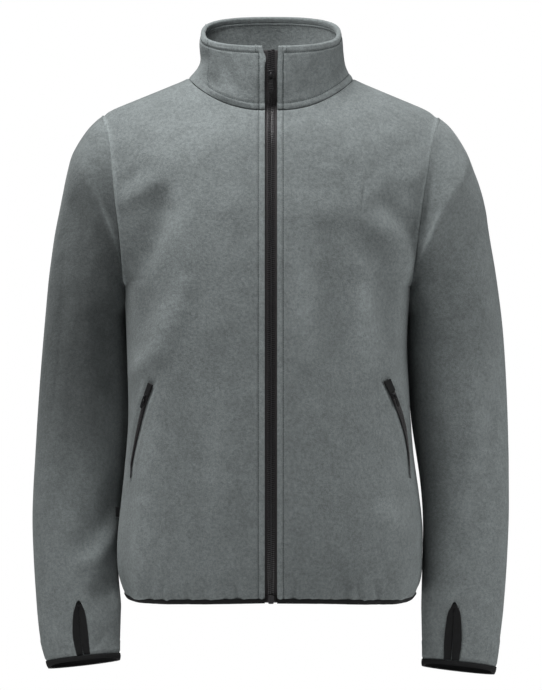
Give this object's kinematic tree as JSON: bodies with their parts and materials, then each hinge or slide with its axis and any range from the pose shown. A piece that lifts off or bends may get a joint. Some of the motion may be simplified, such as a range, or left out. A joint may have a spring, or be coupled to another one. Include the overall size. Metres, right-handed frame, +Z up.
{
  "type": "zip-front fleece jacket",
  "caption": "Fleece jacket as worn, with no wearer in it: stand collar, full front zip, slanted zipped side pockets, bound hem and cuffs, and thumb slots.",
  "frame": {"origin": "middle of the neck, level with the high points of the shoulders", "axes": "+Z up along the jacket, -Y the way the front faces, +X towards the wearer's left"},
  "size_m": [0.6319, 0.2839, 0.874],
  "materials": {
    "fleece": "brushed",
    "stretch_binding": "matt knit",
    "zip_tape": "matt woven",
    "zip_metal": "satin black",
    "pull_tab": "matt"
  },
  "bodies": {
    "jacket": {"back": "fleece", "collar_inner": "fleece", "collar_outer": "fleece", "cuff_binding_left": "stretch_binding", "cuff_binding_right": "stretch_binding", "front_left": "fleece", "front_right": "fleece", "hem_binding": "stretch_binding", "pocket_garage_left": "stretch_binding", "pocket_garage_right": "stretch_binding", "pocket_slider_left": "zip_metal", "pocket_slider_right": "zip_metal", "pocket_zip_left": "zip_tape", "pocket_zip_right": "zip_tape", "seam_tab": "stretch_binding", "sleeve_left_back": "fleece", "sleeve_left_front": "fleece", "sleeve_right_back": "fleece", "sleeve_right_front": "fleece", "thumb_binding_left": "stretch_binding", "thumb_binding_right": "stretch_binding", "zip_box": "zip_metal", "zip_slider": "zip_metal", "zip_tape_left": "zip_tape", "zip_tape_right": "zip_tape"},
    "zip_pull_body": {"zip_pull": "pull_tab"},
    "pocket_pull_right_body": {"pocket_pull_right": "pull_tab"},
    "pocket_pull_left_body": {"pocket_pull_left": "pull_tab"}
  },
  "joints": [
    {"name": "zip_pull_swing", "type": "hinge", "parent": "jacket", "child": "zip_pull_body", "pos_m": [0, -0.09436, -0.002], "axis": [-1, 0, 0], "range_deg": [0, 170]},
    {"name": "pocket_pull_right_swing", "type": "hinge", "parent": "jacket", "child": "pocket_pull_right_body", "pos_m": [-0.1643, -0.08942, -0.41867], "axis": [-0.58, 0.6849, 0.441], "range_deg": [0, 170]},
    {"name": "pocket_pull_left_swing", "type": "hinge", "parent": "jacket", "child": "pocket_pull_left_body", "pos_m": [0.16064, -0.08697, -0.41679], "axis": [-0.5283, -0.7079, -0.4689], "range_deg": [0, 170]}
  ]
}
